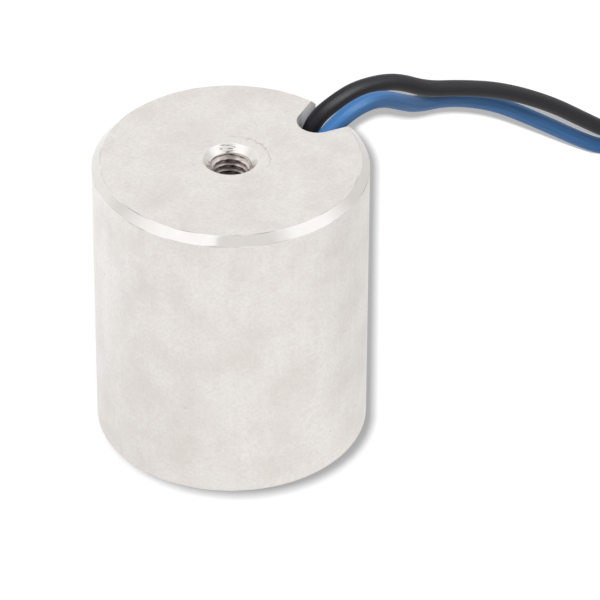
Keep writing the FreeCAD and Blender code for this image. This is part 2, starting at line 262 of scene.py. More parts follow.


# %% [markdown]
# Inside the hole the plate is thin and holds cutting oil, so the turns go from pale crests to browner
# roots, in patches, with the tap's scuffs along them and one darker stripe down one side. The crests
# also grey with depth, which is painted shade in the hole.
# The distance from the axis tells crest from root. The notch is milled, and the plate in it is a
# plainer grey with the cutter's upright lines, under painted shade that darkens it into the round end
# and below the rim. The holding face is ground after plating, so it shows bare steel with straight
# scratches.

# %% Threaded bore, milled notch and ground face
def tapped_bore():
    """Crests with painted shade by depth, scuffs and a dark stripe; roots brown with the radius, in
    patches.
    """
    bore_shade_starts, bore_shade_full = 21.6, 20.6
    crest_radius, root_radius = 1.33, 1.5
    stripe_heading, scuff_mm, oil_mm = 53.0, 0.5, 0.5
    plate = {"Metallic": 1.0, "Roughness": 0.4}
    material, tree, shader, place = start_finish("nickel_plate_tapped", plate)
    level = add_node(tree, "SeparateXYZ", {0: place}, output="Z")
    # Painted shade: the crests turn greyer with depth, from 21.6 mm down to 20.6 mm.
    down = add_node(tree, "MapRange", {"Value": level, "From Min": bore_shade_starts, "From Max": bore_shade_full})
    tone = {"Factor": down, "A": linear("#E4DAD4"), "B": linear("#B9B1AC")}
    tone = add_node(tree, "Mix", tone, data_type="RGBA")

    flat = add_node(tree, "VectorMath", {0: place, 1: (1.0, 1.0, 0.0)}, operation="MULTIPLY")
    # A darker upright stripe on the side of the bore that faces this heading, over the whole depth.
    run = {"Value": facing(tree, flat, stripe_heading), "From Min": 0.92, "From Max": 0.99, "To Max": 0.7}
    run = add_node(tree, "MapRange", run)
    drawn = add_node(tree, "VectorMath", {0: place, 1: (0.5, 0.5, 5.0)}, operation="MULTIPLY")
    scuff = add_node(tree, "TexNoise", {"Vector": drawn, "Scale": 1 / scuff_mm, "Detail": 2.0})
    scuff = {"Value": scuff, "From Min": 0.5, "From Max": 0.62, "To Max": 0.5}
    scuff = add_node(tree, "MapRange", scuff)
    dark = add_node(tree, "Math", {0: run, 1: scuff}, operation="MAXIMUM")
    tone = add_node(tree, "Mix", {"Factor": dark, "A": tone, "B": linear("#6E6560")}, data_type="RGBA")

    radius = add_node(tree, "VectorMath", {0: flat}, operation="LENGTH", output="Value")
    root = {"Value": radius, "From Min": crest_radius, "From Max": root_radius}
    root = add_node(tree, "MapRange", root)
    oil = add_node(tree, "TexNoise", {"Vector": place, "Scale": 1 / oil_mm, "Detail": 2.0})
    oil = add_node(tree, "MapRange", {"Value": oil, "From Min": 0.35, "From Max": 0.65, "To Min": 0.4})
    share = add_node(tree, "Math", {0: root, 1: oil}, operation="MULTIPLY")
    tone = add_node(tree, "Mix", {"Factor": share, "A": tone, "B": linear("#A0928A")}, data_type="RGBA")
    tree.links.new(tone, shader.inputs["Base Color"])
    return material


def milled_notch():
    """Upright lines from the cutter, and painted shade that darkens into the round end and below the rim.
    """
    line_mm, line_depth_mm = 0.12, 0.004
    notch_shade_starts, notch_shade_full = 22.4, 20.9
    end_shade_starts, end_shade_full = 7.9, 7.3
    plate = {"Metallic": 1.0, "Roughness": 0.34}
    material, tree, shader, place = start_finish("nickel_plate_milled", plate)
    upright = add_node(tree, "VectorMath", {0: place, 1: (1.0, 1.0, 0.05)}, operation="MULTIPLY")
    lines = add_node(tree, "TexNoise", {"Vector": upright, "Scale": 1 / line_mm, "Detail": 3.0})
    tone = {"Factor": lines, "A": linear("#BEBDBD"), "B": linear("#9F9E9E")}
    tone = add_node(tree, "Mix", tone, data_type="RGBA")
    # Painted shade: darker with depth below the rim and towards the round end of the notch.
    level = add_node(tree, "SeparateXYZ", {0: place}, output="Z")
    down = add_node(tree, "MapRange", {"Value": level, "From Min": notch_shade_starts, "From Max": notch_shade_full})
    reach = add_node(tree, "SeparateXYZ", {0: place}, output="X")
    inside = {"Value": reach, "From Min": end_shade_starts, "From Max": end_shade_full, "To Max": 0.5}
    inside = add_node(tree, "MapRange", inside)
    dark = add_node(tree, "Math", {0: down, 1: inside}, operation="ADD", use_clamp=True)
    tone = add_node(tree, "Mix", {"Factor": dark, "A": tone, "B": linear("#48474A")}, data_type="RGBA")
    tree.links.new(tone, shader.inputs["Base Color"])
    set_bump(tree, shader, lines, line_depth_mm)
    return material


def ground_face():
    """Two tones and a relief on a noise that is drawn out along y, as a grinding belt leaves it."""
    scratch_mm, scratch_depth_mm = 0.08, 0.003
    material, tree, shader, place = start_finish("ground_steel", {"Metallic": 1.0, "Roughness": 0.3})
    along = add_node(tree, "VectorMath", {0: place, 1: (1.0, 0.03, 1.0)}, operation="MULTIPLY")
    lines = add_node(tree, "TexNoise", {"Vector": along, "Scale": 1 / scratch_mm, "Detail": 3.0})
    tone = {"Factor": lines, "A": linear("#C9C6C2"), "B": linear("#A8A4A0")}
    tree.links.new(add_node(tree, "Mix", tone, data_type="RGBA"), shader.inputs["Base Color"])
    set_bump(tree, shader, lines, scratch_depth_mm)
    return material


# %% [markdown]
# ### Wire insulation
#
# The leads are stranded copper in extruded PVC: matte, a little waxy, with the draw lines of the die
# along their length. The lines follow the wire, so they read the tube's own UV map, which counts
# turns round the lead and millimetres along it. A cosine and a sine of the turn close the pattern
# where the map starts again.

# %% PVC insulation
def pvc_insulation(name, hex_light, hex_deep):
    """Two close tones along the draw lines, over a fine skin."""
    lines_round, line_mm, line_skins_deep = 3.0, 9.0, 2.0
    skin_mm, skin_depth_mm = 0.15, 0.008
    material, tree, shader, place = start_finish(name, {"Roughness": 0.5, "Specular IOR Level": 0.16})
    uv = add_node(tree, "UVMap", uv_map="UVMap")
    turn = add_node(tree, "SeparateXYZ", {0: uv}, output="X")
    along = add_node(tree, "SeparateXYZ", {0: uv}, output="Y")
    angle = add_node(tree, "Math", {0: turn, 1: 2 * math.pi}, operation="MULTIPLY")
    across = add_node(tree, "Math", {0: angle}, operation="COSINE")
    over = add_node(tree, "Math", {0: angle}, operation="SINE")
    slow = add_node(tree, "Math", {0: along, 1: 1 / (line_mm * lines_round)}, operation="MULTIPLY")
    drawn = add_node(tree, "CombineXYZ", {0: across, 1: over, 2: slow})
    lines = add_node(tree, "TexNoise", {"Vector": drawn, "Scale": lines_round, "Detail": 3.0})
    share = add_node(tree, "MapRange", {"Value": lines, "From Min": 0.35, "From Max": 0.65})
    tone = {"Factor": share, "A": linear(hex_light), "B": linear(hex_deep)}
    tree.links.new(add_node(tree, "Mix", tone, data_type="RGBA"), shader.inputs["Base Color"])
    skin = add_node(tree, "TexNoise", {"Vector": place, "Scale": 1 / skin_mm, "Detail": 2.0})
    height = add_node(tree, "Math", {0: lines, 1: line_skins_deep, 2: skin}, operation="MULTIPLY_ADD")
    set_bump(tree, shader, height, skin_depth_mm)
    return material


# %% [markdown]
# ### The pieces inside
#
# A closed magnet hides most of its pieces, but each one still gets the finish of its real material.
# Most are a plain material with a grain: two close tones and a shallow relief on the same noise. The
# winding is enamelled copper, and its turns lie side by side, so a sine of the height gives their
# round backs. The same sine paints the grooves between them darker, which is painted shade.

# %% Grained finishes and the winding
def grained(name, hex_light, hex_deep, grain_mm, depth_mm, plain, ramp=(0.35, 0.65)):
    """Two tones, mixed along a ramp of the noise, and a shallow relief that follows the same noise."""
    material, tree, shader, place = start_finish(name, plain)
    grain = add_node(tree, "TexNoise", {"Vector": place, "Scale": 1 / grain_mm, "Detail": 4.0})
    share = add_node(tree, "MapRange", {"Value": grain, "From Min": ramp[0], "From Max": ramp[1]})
    tone = {"Factor": share, "A": linear(hex_light), "B": linear(hex_deep)}
    tree.links.new(add_node(tree, "Mix", tone, data_type="RGBA"), shader.inputs["Base Color"])
    set_bump(tree, shader, grain, depth_mm)
    return material


def enamelled_winding():
    """Copper whose height is half of one plus a sine of the place along the axis, one wave to a wire."""
    wire_mm = 0.3
    material, tree, shader, place = start_finish("enamelled_copper", {"Metallic": 1.0, "Roughness": 0.25})
    level = add_node(tree, "SeparateXYZ", {0: place}, output="Z")
    phase = add_node(tree, "Math", {0: level, 1: 2 * math.pi / wire_mm}, operation="MULTIPLY")
    wave = add_node(tree, "Math", {0: phase}, operation="SINE")
    wave = add_node(tree, "Math", {0: wave, 1: 0.5, 2: 0.5}, operation="MULTIPLY_ADD")
    # The same wave paints shade: the copper is darker in the grooves between the turns.
    tone = {"Factor": wave, "A": linear("#6E2C12"), "B": linear("#B5602F")}
    tree.links.new(add_node(tree, "Mix", tone, data_type="RGBA"), shader.inputs["Base Color"])
    set_bump(tree, shader, wave, wire_mm / 2)
    return material


# %% [markdown]
# All finishes are made once, and each carried-over solid takes the one for its material. The plate is
# worn on the corners: pale, with greyer lengths. Tinned copper is pale and finely grained, cast alnico
# dull and coarse. Cast epoxy is black and glossy, with slow waves. The coil's former is cream nylon,
# faintly speckled with glass, its tape is amber and shiny, and the sleeves and the tie are dull black.

# %% Make the finishes and dress the solids
satin = satin_nickel()
chamfer_cut = bright_cut_nickel(
    "nickel_plate_bright_cut", ("#E4E0DB", "#DAD5D0"),
    roughness=0.1, chatter_mm=0.9, chatter_depth_mm=0.0015, bitten=0.0,
)
sink_cut = bright_cut_nickel(
    "nickel_plate_countersunk", ("#EFECE8", "#D9D3CD"),
    roughness=0.22, chatter_mm=0.35, chatter_depth_mm=0.012, bitten=0.8,
)
tapped = tapped_bore()
milled = milled_notch()
ground = ground_face()
worn_metal = {"Metallic": 1.0, "Roughness": 0.35}
worn = grained("nickel_plate_worn", "#EFEBE7", "#B9B1AA", 2.2, 0.002, worn_metal, ramp=(0.44, 0.68))
insulation = {
    "black": pvc_insulation("pvc_black", "#232226", "#19181C"),
    "blue": pvc_insulation("pvc_blue", "#4A83BE", "#3D74AF"),
}
tinned = grained("tinned_copper", "#C9C6C0", "#A7A29A", 0.2, 0.004, {"Metallic": 1.0, "Roughness": 0.32})
tie_nylon = grained("moulded_nylon_black", "#242428", "#1B1B1E", 0.3, 0.006, {"Roughness": 0.5})
epoxy = grained("cast_epoxy_black", "#1C1C1F", "#121214", 0.8, 0.02, {"Roughness": 0.35, "IOR": 1.55})
alnico = grained("cast_alnico", "#8F8B86", "#77736E", 0.6, 0.01, {"Metallic": 1.0, "Roughness": 0.4})
former = grained("glass_filled_nylon", "#E6E0D2", "#D8D0BF", 0.25, 0.008, {"Roughness": 0.5, "IOR": 1.53})
tape = grained("polyester_tape", "#D8B24C", "#C69E39", 1.5, 0.01, {"Roughness": 0.3, "IOR": 1.57})
sleeve = grained("shrink_sleeve_black", "#26262A", "#1D1D20", 0.2, 0.006, {"Roughness": 0.55})
solids = {
    "pole_core": ground,
    "permanent_magnet": alnico,
    "coil_bobbin": former,
    "winding_tape": tape,
    "potting_resin": epoxy,
    "lead_seal": epoxy,
    "black_lead_inner": grained("pvc_black_inner", "#1D1C1F", "#141316", 0.15, 0.008, {"Roughness": 0.45}),
    "blue_lead_inner": grained("pvc_blue_inner", "#4F86BC", "#4378AC", 0.15, 0.008, {"Roughness": 0.45}),
    "black_splice_joint": tinned,
    "blue_splice_joint": tinned,
    "black_splice_sleeve": sleeve,
    "blue_splice_sleeve": sleeve,
}
winding = enamelled_winding()
solids |= dict.fromkeys(("coil_winding", "winding_start_tail", "winding_finish_tail"), winding)
for node, finish in solids.items():
    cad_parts[node].material_slots[0].material = finish
print("finished solids", len(solids))

# %% [markdown]
# ## Surfaces as grids
#
# Every new piece here is a surface over two parameters, sampled on a grid of rows and columns. The
# points come out of numpy as one array, so no vertex is placed by hand. Four neighbours make a face,
# and a direction that closes on itself wraps its last column to its first. A row that shrinks to one
# point closes an end, once the points that fall together are merged.

# %% Grid helpers
def grid_faces(rows, columns, close_rows=False):
    """Four point numbers for each cell of a grid whose columns close on themselves."""
    i, j = np.meshgrid(np.arange(rows if close_rows else rows - 1), np.arange(columns), indexing="ij")
    below, beside = (i + 1) % rows, (j + 1) % columns
    corners = [i * columns + j, i * columns + beside, below * columns + beside, below * columns + j]
    return np.stack(corners, axis=-1).reshape(-1, 4)


def clean_mesh(mesh):
    """Merges points that fall together, turns the faces outwards and keeps only real corners sharp."""
    together_mm, sharp_degrees = 0.0001, 35.0
    work = bmesh.new()
    work.from_mesh(mesh)
    bmesh.ops.remove_doubles(work, verts=work.verts, dist=together_mm * MM)
    bmesh.ops.recalc_face_normals(work, faces=work.faces)
    work.to_mesh(mesh)
    work.free()
    mesh.shade_smooth()
    mesh.set_sharp_from_angle(angle=math.radians(sharp_degrees))


def make_piece(name, grids, materials, finish=None, uv=None, close_rows=False):
    """One mesh object at the origin from grids of points in millimetres, rows by columns by xyz."""
    shapes = [grid.shape[:2] for grid in grids]
    starts = np.cumsum([0] + [rows * columns for rows, columns in shapes[:-1]])
    faces = np.concatenate([grid_faces(*shape, close_rows) + start for shape, start in zip(shapes, starts)])
    points = np.concatenate([grid.reshape(-1, 3) for grid in grids]) * MM
    mesh = bpy.data.meshes.new(name)
    mesh.from_pydata(points.tolist(), [], faces.tolist())
    for material in materials:
        mesh.materials.append(material)
    if finish is not None:
        mesh.polygons.foreach_set("material_index", finish.astype(np.int32))
    if uv is not None:
        mesh.uv_layers.new(name="UVMap").uv.foreach_set("vector", uv.astype(np.float32).ravel())
    clean_mesh(mesh)
    piece = bpy.data.objects.new(name, mesh)
    scene.collection.objects.link(piece)
    return piece


def join_part(piece, slot, *nodes):
    """The piece rides on the one body and stands for its solids, which it hides; slot is not used."""
    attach(piece, "root")
    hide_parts(*nodes)
    print(piece.name, "triangles", sum(len(face.vertices) - 2 for face in piece.data.polygons))


# %% [markdown]
# ## The leads
#
# Each lead leaves the floor of the notch, climbs over the rim and runs off to one side, where the
# spare length lies in a tied coil. The route is a handful of points, and a NURBS spline of order 3
# passes smoothly inside their corners. The coil's turns are more points of the same spline, from a
# formula: an outer turn, two inner turns, then an outer turn in the next row.

# %% Routes of the leads
lead_diameter = 1.25
seal_top = solid_top("lead_seal")[2]
lead_exit = {"black": np.array((7.448, 0.635, seal_top)), "blue": np.array((7.448, -0.635, seal_top))}
over_rim = {
    "black": [
        (0, 0, 1.6), (0.85, 0, 3.0), (2.77, 0.13, 3.55), (4.87, 0.48, 3.56),
        (7.55, 0.96, 2.8), (9.75, 1.36, 1.76),
    ],
    "blue": [
        (0, 0, 1.4), (0.93, -0.02, 2.33), (2.73, 0.03, 3.23), (4.84, 0.29, 3.27),
        (6.95, 0.97, 2.3), (9.15, 1.82, 0.65),
    ],
}
down_to_coil = {
    "black": [
        (20.2, 2.45, 18.92), (24.0, 3.15, 17.12), (29.0, 4.0, 14.4), (34.6, 4.9, 10.4),
        (39.0, 5.6, 6.6), (41.6, 5.9, 4.4),
    ],
    "blue": [
        (19.2, 2.5, 17.9), (23.6, 3.98, 15.95), (29.0, 5.0, 12.75), (34.6, 5.7, 8.2),
        (39.0, 6.15, 4.5), (41.6, 6.3, 2.55),
    ],
}
coil_centre = (48.4, 0.0)
coil_start = math.radians(105.0)
coil_turns = 3.2
points_a_turn = 24
outer_turn, inner_turn = 7.225, 5.975
entry_height = {"black": 3.425, "blue": 2.175}
end_height = {"black": 4.675, "blue": 0.925}
step_in, step_out, step_row = (0.78, 1.0), (2.3, 2.6), (1.45, 1.75)
lead_in = 3.2


def ease(n, start, end):
    """Smooth step from 0 to 1 as n goes from start to end: 3 t squared less 2 t cubed."""
    t = np.clip((n - start) / (end - start), 0.0, 1.0)
    return t * t * (3 - 2 * t)


def coil_points(colour, n):
    """Places on the coil after n turns, clockwise: radius and height ease over a part of a turn."""
    radius = outer_turn + (inner_turn - outer_turn) * (ease(n, *step_in) - ease(n, *step_out))
    height = entry_height[colour] + (end_height[colour] - entry_height[colour]) * ease(n, *step_row)
    angle = coil_start - 2 * math.pi * n
    x = coil_centre[0] + radius * np.cos(angle)
    y = coil_centre[1] + radius * np.sin(angle)
    return np.stack([x, y, height], axis=-1)


def lead_route(colour):
    """Exit, points over the rim, points down to the coil, the straight run in, and the coil's turns."""
    exit_point = lead_exit[colour]
    tangent = np.array((math.sin(coil_start), -math.cos(coil_start), 0.0))
    turns = coil_points(colour, np.linspace(0.0, coil_turns, round(coil_turns * points_a_turn) + 1))
    free = [exit_point, exit_point + np.array(over_rim[colour]), np.array(down_to_coil[colour])]
    return np.vstack(free + [turns[0] - tangent * lead_in, turns])


def spline_line(points):
    """Points along the open NURBS spline of order 3 over these control points."""
    order, steps = 3, 8
    curve = bpy.data.curves.new("route", "CURVE")
    curve.dimensions = "3D"
    spline = curve.splines.new("NURBS")
    spline.points.add(len(points) - 1)
    spline.points.foreach_set("co", np.c_[points, np.ones(len(points))].ravel())
    spline.order_u = order
    spline.use_endpoint_u = True
    spline.resolution_u = steps
    holder = bpy.data.objects.new("route", curve)
    scene.collection.objects.link(holder)
    mesh = bpy.data.meshes.new_from_object(holder.evaluated_get(bpy.context.evaluated_depsgraph_get()))
    line = np.empty(len(mesh.vertices) * 3)
    mesh.vertices.foreach_get("co", line)
    bpy.data.objects.remove(holder)
    bpy.data.curves.remove(curve)
    bpy.data.meshes.remove(mesh)
    return line.reshape(-1, 3)


# %% [markdown]
# A tube along a line needs two directions across the line at every point. Cross products give a
# first pair, but it may spin. The spin from each point to the next is an angle, so a running sum of
# those angles, turned back, leaves a pair that never twists. The tube's UV map counts turns round the
# line and millimetres along it, and each end closes to a point in its own plane.

# %% Tubes along a line
def untwisted_pair(line):
    """Unit normal and binormal along a line, the normals turned back by their summed twist."""
    tangent = np.gradient(line, axis=0)
    tangent /= np.linalg.norm(tangent, axis=1, keepdims=True)
    helper = np.eye(3)[np.argmin(np.abs(tangent), axis=1)]
    normal = np.cross(tangent, helper)
    normal /= np.linalg.norm(normal, axis=1, keepdims=True)
    binormal = np.cross(tangent, normal)
    aside = np.sum(normal[:-1] * binormal[1:], axis=1)
    level = np.sum(normal[:-1] * normal[1:], axis=1)
    angle = np.concatenate([[0.0], np.cumsum(np.arctan2(aside, level))])[:, None]
    turned = normal * np.cos(angle) + binormal * np.sin(angle)
    return turned, np.cross(tangent, turned)


def length_along(line):
    """Distance from the first point to each point of a line."""
    return np.concatenate([[0.0], np.cumsum(np.linalg.norm(np.diff(line, axis=0), axis=1))])


def tube_grid(line, radius, sides):
    """Rings of a tube: the line plus radius times (cos normal + sin binormal), closed at both ends."""
    normal, binormal = untwisted_pair(line)
    angle = np.linspace(0.0, 2 * math.pi, sides, endpoint=False)[None, :, None]
    rings = line[:, None] + radius * (np.cos(angle) * normal[:, None] + np.sin(angle) * binormal[:, None])
    ends = [np.repeat(line[i][None, None], sides, axis=1) for i in (0, -1)]
    return np.concatenate([ends[0], rings, ends[1]])


def tube_uv(line, sides):
    """Turns round and millimetres along at each face's four corners, in grid_faces' order."""
    along = length_along(line)
    along = np.concatenate([along[:1], along, along[-1:]])
    i, j = np.meshgrid(np.arange(len(along) - 1), np.arange(sides), indexing="ij")
    turn = np.stack([j, j + 1, j + 1, j], axis=-1) / sides
    return np.stack([turn, np.stack([along[i], along[i], along[i + 1], along[i + 1]], axis=-1)], axis=-1)


lead_sides = 28
lead_line = {colour: spline_line(lead_route(colour)) for colour in lead_exit}
lead_piece = {}
for colour, line in lead_line.items():
    grid = tube_grid(line, lead_diameter / 2, lead_sides)
    piece = make_piece(colour + "_flying_lead", [grid], [insulation[colour]], uv=tube_uv(line, lead_sides))
    join_part(piece, colour + "_insulation", colour + "_lead", colour + "_lead_coil")
    piece.visible_glossy = False  # the plate stays pale beside the leads
    lead_piece[colour] = piece
    print(colour, "lead", round(length_along(line)[-1], 1), "mm along", len(line), "points")

# %% [markdown]
# The last five millimetres of each lead are stripped and tinned. One strand lies straight and six
# twist round it, so each is a tube along a helix that follows the coil's last turn. A band of nylon
# holds the coil: its section is a flat strip with round edges, carried round the coil's own section.

# %% Stripped ends
strand_diameter, strand_lay = 0.2, 4.0
strands_round, strand_sides, strand_points = 6, 12, 60
stripped_length = 5.0


def strand_line(colour, share):
    """Helix about the arc past the insulation: one turn in a lay length, from a share of a turn."""
    tuck = 0.002
    bare_turns = stripped_length / (2 * math.pi * outer_turn)
    middle = coil_points(colour, np.linspace(coil_turns - tuck, coil_turns + bare_turns, strand_points))
    normal, binormal = untwisted_pair(middle)
    angle = (2 * math.pi * (length_along(middle) / strand_lay + share))[:, None]
    return middle + strand_diameter * (np.cos(angle) * normal + np.sin(angle) * binormal)


end_piece = {}
for colour in lead_exit:
    strands = [strand_line(colour, share) for share in np.arange(strands_round) / strands_round]
    strands.append(np.mean(strands, axis=0))
    grids = [tube_grid(line, strand_diameter / 2, strand_sides) for line in strands]
    end_piece[colour] = make_piece(colour + "_stripped_end", grids, [tinned])
    join_part(end_piece[colour], "tinned_copper", colour + "_wire_end")

# %% Tie round the coil
tie_angle = math.radians(65.0)
tie_width, tie_thickness, tie_edge = 2.5, 0.3, 0.14
tie_low = np.array((5.2, 0.15))
tie_high = np.array((8.0, 5.45))
tie_corner = 0.45
loop_steps, edge_steps = 9, 6


def round_box(low, high, corner, steps):
    """Points round a box with round corners, and the way outwards at each: an arc for each corner."""
    angle = np.linspace(0, math.pi / 2, steps)
    turned = angle[None] + np.arange(4)[:, None] * math.pi / 2
    outward = np.stack([np.cos(turned), np.sin(turned)], axis=-1)
    centres = np.array([high, (low[0], high[1]), low, (high[0], low[1])])
    centres = centres - corner * np.array([(1, 1), (-1, 1), (-1, -1), (1, -1)])
    return (centres[:, None] + corner * outward).reshape(-1, 2), outward.reshape(-1, 2)


def tie_grid():
    """Strip section, thickness by width, carried round the coil's section and laid at the tie's angle."""
    loop, outward = round_box(tie_low, tie_high, tie_corner, loop_steps)
    half = np.array((tie_thickness, tie_width)) / 2
    strip, _ = round_box(-half, half, tie_edge, edge_steps)
    section = loop[:, None] + outward[:, None] * strip[None, :, :1]
    mean_radius = (tie_low[0] + tie_high[0]) / 2
    angle = tie_angle + strip[None, :, 1] / mean_radius
    x = coil_centre[0] + section[..., 0] * np.cos(angle)
    y = coil_centre[1] + section[..., 0] * np.sin(angle)
    return np.stack([x, y, section[..., 1]], axis=-1)


tie = make_piece("coil_tie", [tie_grid()], [tie_nylon], close_rows=True)
join_part(tie, "tie_plastic", "lead_tie")

for colour, piece in lead_piece.items():
    line = lead_line[colour] * MM
print("cords", sorted(lead_piece))

# %% [markdown]
# ## The cup
#
# The cup is turned, so it is one profile carried round the axis. Blender's Spin could do that, but a
# grid can also hold the thread: there the radius depends on both the height and the angle. The M3
# thread has a pitch of half a millimetre, and its ridge is a triangle wave of height less angle, cut
# off flat at crest and root. Where the countersink reaches further out than the ridge, it wins. The
# profile's corners are eased by hundredths of a millimetre, and the plate is worn on the outer ones,
# so the rows between two flats get a finish of their own.

# %% Profile of the cup
body_radius, _, body_height = solid_top("housing_cup")
bore_radius = solid_top("potting_resin")[0]
base_underside = solid_top("permanent_magnet")[2]
rim_chamfer, corner_reach, corner_steps = 0.6, 0.035, 4
thread_radius, sink_radius, thread_low = 1.5, 2.0, 17.7
thread_pitch, thread_ridge, thread_row = 0.5, 0.27, 0.04
flat_share, slope_share = 0.15, 0.7
drill_tip = 16.8
columns = 240


def eased_outline(corners, reach, steps):
    """Outline with a quadratic Bezier at each inner corner, and a row each side to keep the flats flat."""
    support = 3.0
    back = corners[:-2] - corners[1:-1]
    ahead = corners[2:] - corners[1:-1]
    back *= reach / np.linalg.norm(back, axis=1, keepdims=True)
    ahead *= reach / np.linalg.norm(ahead, axis=1, keepdims=True)
    t = np.linspace(0, 1, steps + 1)[None, :, None]
    curve = corners[1:-1, None] + (1 - t) ** 2 * back[:, None] + t ** 2 * ahead[:, None]
    first = corners[1:-1, None] + support * back[:, None]
    last = corners[1:-1, None] + support * ahead[:, None]
    rows = np.concatenate([first, curve, last], axis=1)
    return np.vstack([corners[:1], rows.reshape(-1, 2), corners[-1:]])


def band_numbers(inner_corners, steps):
    """Number of each band between two rows: even along a flat, odd round the corner after it."""
    one_corner = np.array([0] + [1] * steps + [2, 2])
    return np.concatenate([[0], (2 * np.arange(inner_corners)[:, None] + one_corner).ravel()])


def thread_radii(height, turn):
    """Bore radius less a triangle wave of height over pitch less turn, and never inside the countersink."""
    wave = np.abs(2 * ((height / thread_pitch - turn) % 1) - 1)
    ridge = thread_ridge * np.clip((wave - flat_share) / slope_share, 0, 1)
    ridge *= ease(height, thread_low, thread_low + thread_pitch)
    cone = sink_radius - (body_height - height)
    return np.maximum(thread_radius - ridge, cone)


# %% Turn the cup
outline = np.array([
    (thread_radius, body_height - sink_radius + thread_radius), (sink_radius, body_height),
    (body_radius - rim_chamfer, body_height), (body_radius, body_height - rim_chamfer),
    (body_radius, 0.0), (bore_radius, 0.0), (bore_radius, base_underside), (0.0, base_underside),
])
outer = eased_outline(outline, corner_reach, corner_steps)
turn = np.arange(columns)[None] / columns
thread_height = np.arange(thread_low, outline[0, 1], thread_row)[:, None]
full_turn = np.ones_like(turn)
radius = np.vstack([0 * full_turn, thread_radii(thread_height, turn), outer[:, :1] * full_turn])
height = np.vstack([[[drill_tip]], thread_height, outer[:, 1:]]) * full_turn
angle = 2 * math.pi * turn
cup_grid = np.stack([radius * np.cos(angle), radius * np.sin(angle), height], axis=-1)

cup_finishes = [satin, sink_cut, chamfer_cut, tapped, ground, worn]
along_outline = [sink_cut, worn, satin, worn, chamfer_cut, worn, satin, worn, ground] + [satin] * 4
band_finish = np.array([cup_finishes.index(finish) for finish in along_outline])
bands = np.concatenate([
    np.full(len(thread_height) + 1, cup_finishes.index(tapped)),
    band_finish[band_numbers(len(outline) - 2, corner_steps)],
])
cup = make_piece("nickel_cup", [cup_grid], cup_finishes, finish=np.repeat(bands, columns))
print("cup rows", len(radius), "columns", columns)

# %% [markdown]
# The notch is milled into the rim for the leads: a round end, walls that flare outwards, and a broken
# edge along the top. Each height of the cutter is the same outline with another end radius, because
# an outline that is tangent to a larger circle is the same outline moved outwards. Below the notch
# the leads go down through a round hole. A Boolean modifier takes both shapes out of the cup.

# %% Cut the notch and the lead hole
notch_centre, notch_end, notch_floor = 7.898, 1.4333, seal_top
back_flare, front_flare = math.radians(27.0), math.radians(13.0)
notch_break, notch_reach, cutter_spare = 0.08, 11.0, 0.5
arc_points, hole_points = 48, 64


def notch_loop(end_radius, level):
    """Arc of the round end between its two tangent points, then the two mouth corners."""
    angle = np.linspace(math.pi / 2 + back_flare, 1.5 * math.pi - front_flare, arc_points)
    arc = np.stack([notch_centre + end_radius * np.cos(angle), end_radius * np.sin(angle)], axis=-1)
    back_mouth = arc[0, 1] + (notch_reach - arc[0, 0]) * math.tan(back_flare)
    front_mouth = arc[-1, 1] - (notch_reach - arc[-1, 0]) * math.tan(front_flare)
    loop = np.vstack([arc, (notch_reach, front_mouth), (notch_reach, back_mouth)])
    return np.c_[loop, np.full(len(loop), level)]


def closed_stack(loops):
    """Loops one above the other, with a middle point under the first and over the last."""
    low, high = (np.broadcast_to(loop.mean(axis=0), loop.shape) for loop in (loops[0], loops[-1]))
    return np.stack([low, *loops, high])


def carve(piece, cutter):
    """Takes the cutter's volume out of the piece; the cut faces keep the cutter's finish."""
    cut = piece.modifiers.new("cut", "BOOLEAN")
    cut.operation = "DIFFERENCE"
    cut.solver = "EXACT"
    cut.material_mode = "TRANSFER"
    cut.object = cutter
    piece.data = bpy.data.meshes.new_from_object(piece.evaluated_get(bpy.context.evaluated_depsgraph_get()))
    piece.modifiers.clear()
    bpy.data.objects.remove(cutter)


notch_loops = [
    notch_loop(notch_end, notch_floor), notch_loop(notch_end, body_height - notch_break),
    notch_loop(notch_end + notch_break + cutter_spare, body_height + cutter_spare),
]
hole_angle = np.linspace(0, 2 * math.pi, hole_points, endpoint=False)
hole = np.stack([notch_centre + notch_end * np.cos(hole_angle), notch_end * np.sin(hole_angle)], axis=-1)
hole_levels = (base_underside - cutter_spare, notch_floor + cutter_spare)
hole_loops = [np.c_[hole, np.full(hole_points, level)] for level in hole_levels]
for name, loops in {"notch": notch_loops, "lead_hole": hole_loops}.items():
    carve(cup, make_piece(name + "_cutter", [closed_stack(loops)], [milled]))
clean_mesh(cup.data)
join_part(cup, "nickel_steel", "housing_cup")

# %% [markdown]
# ## Floor
#
# The object stands on plain white. A floor could be lit until it clips to white, but that washes the
# shadow out. So this one is a white sheet that keeps its shadow, with a glow for the camera that makes
# it read as white, and far from the object it is nothing but that white. Metal mirrors it as a part of
# a white room, dimmer at the right and lighter at the back. At the left it is a little dimmer near the
# foot of the object.

# %% Floor
def any_of(tree, names):
    """One where the ray is of any of the named kinds."""
    total = 0.0
    for name in names:
        kind = add_node(tree, "LightPath", output=name)
        total = add_node(tree, "Math", {0: kind, 1: total}, operation="MAXIMUM")
    return total


def towards_side(tree, vector, heading, start, full):
    """Share from 0 to 1 as the vector turns to a heading: a smooth step of the cosine between them."""
    ramp = {"Value": facing(tree, vector, heading), "From Min": start, "From Max": full}
    return add_node(tree, "MapRange", ramp, interpolation_type="SMOOTHSTEP")


white = linear("#FFFFFF")
mirrored_kinds = ["Is Glossy Ray", "Is Transmission Ray"]
right_heading, left_heading, back_heading = 0.0, 155.0, 85.0
floor_turn, room_turn = (0.25, 0.85), (0.4, 0.9)
floor_half, floor_drop = 2.0, 0.02 * MM
floor_square = ((-1, -1), (1, -1), (1, 1), (-1, 1))
floor_mesh = bpy.data.meshes.new("studio_floor")
floor_corners = [(x * floor_half, y * floor_half, -floor_drop) for x, y in floor_square]
floor_mesh.from_pydata(floor_corners, [], [(0, 1, 2, 3)])
floor = bpy.data.objects.new("studio_floor", floor_mesh)
scene.collection.objects.link(floor)
print("floor", 2 * floor_half, "m wide")

